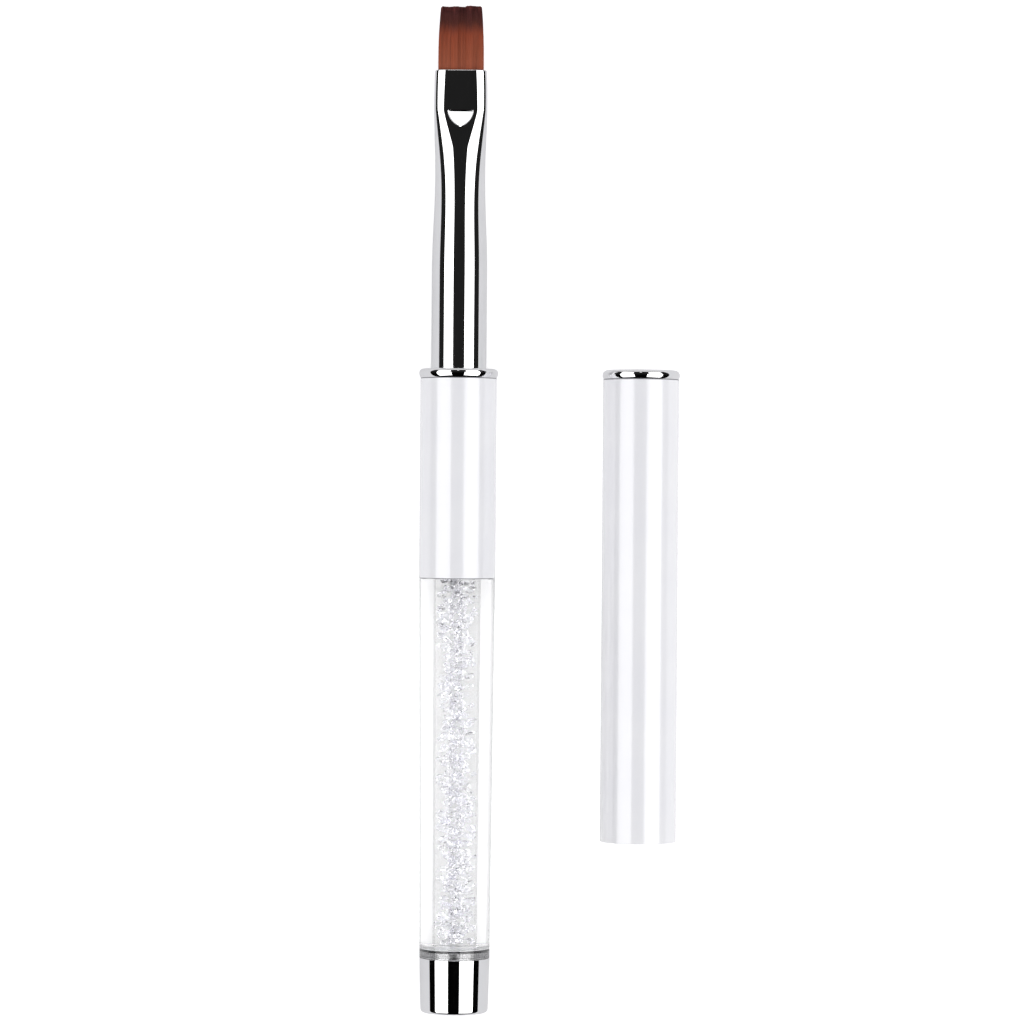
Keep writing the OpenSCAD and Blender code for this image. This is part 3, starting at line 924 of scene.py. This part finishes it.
def area_light(name, width, height, radiance):
    """A flat light that the camera doesn't see. Its power is radiance * area * pi."""
    data = bpy.data.lights.new(name, "AREA")
    data.shape = "RECTANGLE"
    data.size = width
    data.size_y = height
    data.energy = radiance * width * height * math.pi
    lamp = bpy.data.objects.new(name, data)
    lamp.visible_camera = False
    bpy.context.scene.collection.objects.link(lamp)
    return lamp


def softbox(name, across, along, radiance, reach=0.9, shown="glossy"):
    """An area light that faces the middle of the object.

    across and along are the angles in degrees, from straight up, between which it stands: across
    towards +X and along towards +Y. It is a flat rectangle at distance reach, square to the line
    to its middle, so its edges stand at reach * tan(angle from its middle).
    """
    lean = math.radians(sum(across) / 2)
    half = math.radians((across[1] - across[0]) / 2)
    low, high = (reach * math.tan(math.radians(a)) for a in along)
    lamp = area_light(name, 2 * reach * math.tan(half), high - low, radiance)
    lamp.location = (reach * math.sin(lean), (low + high) / 2, reach * math.cos(lean))
    lamp.rotation_euler = (0, lean, 0)
    lamp.visible_diffuse = shown != "glossy"
    lamp.visible_glossy = shown == "glossy"
    lamp.visible_transmission = shown == "glossy"


def end_card(name, low, high, reach, width, radiance, x=0.0):
    """A card across the +Y end, between two angles from straight up, that faces the object."""
    lean = math.radians((low + high) / 2)
    half = math.radians((high - low) / 2)
    lamp = area_light(name, width, 2 * reach * math.tan(half), radiance)
    lamp.location = (x, reach * math.sin(lean), reach * math.cos(lean))
    lamp.rotation_euler = (-lean, 0, 0)
    lamp.visible_diffuse = False


def surroundings():
    """A pale room that lights the object softly, and that mirrors see as dark, as they would in a
    tent lined with black."""
    world = bpy.data.worlds.new("studio")
    bpy.context.scene.world = world
    world.use_nodes = True
    tree = world.node_tree
    nodes, link = tree.nodes, tree.links.new
    back = nodes["Background"]
    mirror, path = mirror_ray(tree)
    soft = nodes.new("ShaderNodeMix")
    soft.data_type = "RGBA"
    soft.inputs["A"].default_value = (1.02, 1.02, 1.02, 1)
    soft.inputs["B"].default_value = (0.8, 0.8, 0.82, 1)
    lit = nodes.new("ShaderNodeMix")
    lit.data_type = "RGBA"
    way, part = nodes.new("ShaderNodeTexCoord"), nodes.new("ShaderNodeSeparateXYZ")
    gloom = nodes.new("ShaderNodeMapRange")
    gloom.inputs["From Min"].default_value = -0.14
    gloom.inputs["From Max"].default_value = 0.02
    gloom.inputs["To Min"].default_value = 0.0008
    gloom.inputs["To Max"].default_value = 0.015
    link(way.outputs["Generated"], part.inputs["Vector"])
    link(part.outputs["Y"], gloom.inputs["Value"])
    link(gloom.outputs["Result"], lit.inputs["B"])
    link(path.outputs["Is Diffuse Ray"], soft.inputs["Factor"])
    link(soft.outputs["Result"], lit.inputs["A"])
    link(mirror, lit.inputs["Factor"])
    link(lit.outputs["Result"], back.inputs["Color"])


def black_flag():
    """A black board above the object, between the two strips. Only light that crosses clear parts
    meets it, and it gives the cut stones their dark sparks."""
    made, _, _ = new_material(
        "black_velvet", Base_Color=(0.012, 0.012, 0.013, 1), Roughness=1.0, Specular_IOR_Level=0.0)
    left, right = (FLAG_HEIGHT * math.tan(math.radians(a)) for a in FLAG_ACROSS)
    y = FLAG_HEIGHT * math.tan(math.radians(FLAG_ALONG))
    plan = ((left, -y), (left, y), (right, y), (right, -y))
    board = flat_board("black_flag", [(*corner, FLAG_HEIGHT) for corner in plan], made)
    board.visible_camera = False
    board.visible_diffuse = False
    board.visible_glossy = False
    board.visible_shadow = False


def lights():
    """Two long softboxes, in two lengths each. The near lengths light the handle and the cap, the far
    ones the ferrule."""
    softbox("strip_left_near", (-66.5, -21.4), HANDLE_SPAN, STRIP_LIGHT)
    softbox("strip_left_far", (-64.7, -25.1), FERRULE_SPAN, STRIP_LIGHT)
    softbox("strip_right_near", (17, 66.3), HANDLE_SPAN, STRIP_LIGHT)
    softbox("strip_right_far", (22.5, 64), FERRULE_SPAN, STRIP_LIGHT)
    softbox("overhead", (-30, 30), (-30, 30), 0.33, reach=1.4, shown="diffuse")
    softbox("fill_right", (35, 65), (-25, 25), 0.55, reach=1.4, shown="diffuse")
    end_card("tip_card", 41.5, 47.5, 0.8, 0.07, STRIP_LIGHT, -0.022)
    end_card("back_card", 58, 89, 1.6, 3.0, 0.75)


def camera():
    """Looks straight down, turned a little, from far enough that round ends show a slight curve."""
    data = bpy.data.cameras.new("camera")
    data.sensor_width = SENSOR
    data.lens = SENSOR * CAMERA_HEIGHT / VIEW_WIDTH
    data.clip_start = 0.01
    eye = bpy.data.objects.new("camera", data)
    eye.location = (*CAMERA_AT, BRUSH_AXIS[1] + CAMERA_HEIGHT)
    eye.rotation_euler = (0, 0, CAMERA_TURN)
    bpy.context.scene.collection.objects.link(eye)
    bpy.context.scene.camera = eye


def look():
    """Plain colour handling and enough bounces for glass inside glass."""
    scene = bpy.context.scene
    scene.view_settings.view_transform = "Standard"
    scene.cycles.max_bounces = 24
    scene.cycles.transmission_bounces = 20
    scene.cycles.glossy_bounces = 12
    scene.cycles.sample_clamp_indirect = 6


end_plug()
acrylic_tube()
crystals()
pearl_tube("sleeve_lacquered", BRUSH_AXIS, radius_of("upper_sleeve"), SLEEVE_START, SLEEVE_END,
           SLEEVE_EDGE, "upper_sleeve", "brush", True)
collar_ring()
ferrule()
hair()
pearl_tube("cap_lacquered", CAP_AXIS, radius_of("cap_tube"), CAP_MOUTH, CAP_TUBE_END,
           CAP_EDGE, "cap_tube", "cap", False)
cap_liner()
cap_end()
inner_finishes()
floor()
surroundings()
black_flag()
lights()
camera()
look()
